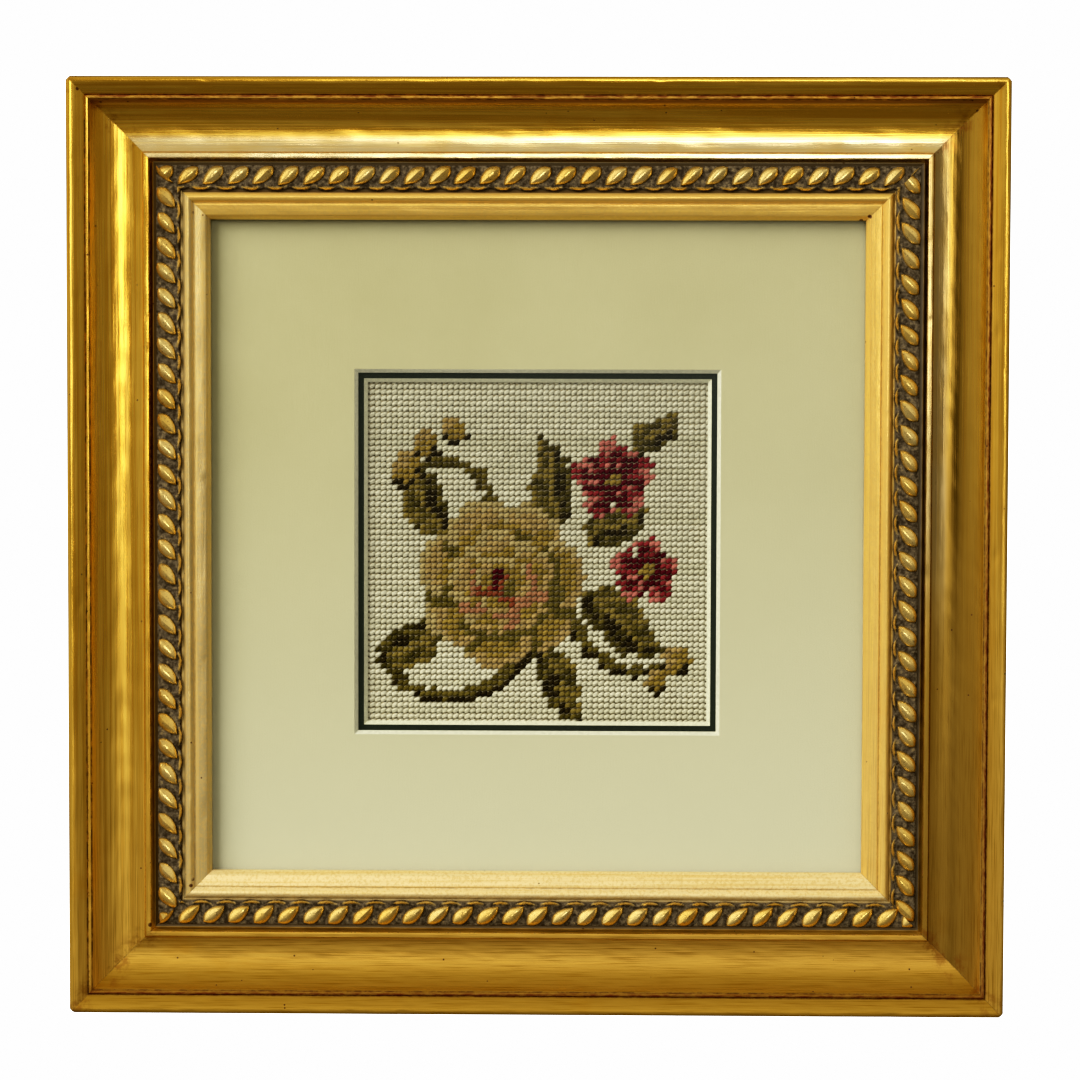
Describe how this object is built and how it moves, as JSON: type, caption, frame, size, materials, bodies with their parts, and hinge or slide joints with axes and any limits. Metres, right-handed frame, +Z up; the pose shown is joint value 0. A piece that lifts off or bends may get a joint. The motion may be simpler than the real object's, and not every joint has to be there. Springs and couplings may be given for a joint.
{
  "type": "framed needlepoint picture",
  "caption": "Square needlepoint flower picture behind glass with a double mat, in a deep gilded cove frame with a leaf rope ornament.",
  "frame": {"origin": "on the wall plane, at the middle of the flat back of the top rail", "axes": "+Z up, the picture faces -Y, +X to the right as seen from the front; +Y goes into the wall"},
  "size_m": [0.35, 0.0289, 0.35],
  "materials": {
    "gilding": "gold leaf on carved and mitred wood, burnished, worn at the edges and toned brown in the hollows",
    "aged_gilding": "gold leaf on moulded ornament, grey-brown toning in the hollows",
    "glass": "clear picture glass",
    "cream_board": "matt aged cream mat board with a pale bevel",
    "green_board": "matt very dark green mat board with a pale bevel",
    "yarn": "wool tent stitch on canvas, ivory ground with flowers in rose, crimson, gold and olive",
    "brown_board": "plain brown backing board",
    "steel": "thin steel points"
  },
  "bodies": {
    "root": {"rail_top": "gilding", "rope_top": "aged_gilding", "point_top_1": "steel", "point_top_2": "steel", "rail_right": "gilding", "rope_right": "aged_gilding", "point_right_1": "steel", "point_right_2": "steel", "rail_bottom": "gilding", "rope_bottom": "aged_gilding", "point_bottom_1": "steel", "point_bottom_2": "steel", "rail_left": "gilding", "rope_left": "aged_gilding", "point_left_1": "steel", "point_left_2": "steel", "glass": "glass", "mat_top": "cream_board", "mat_under": "green_board", "needlepoint": "yarn", "backing": "brown_board"}
  },
  "joints": []
}
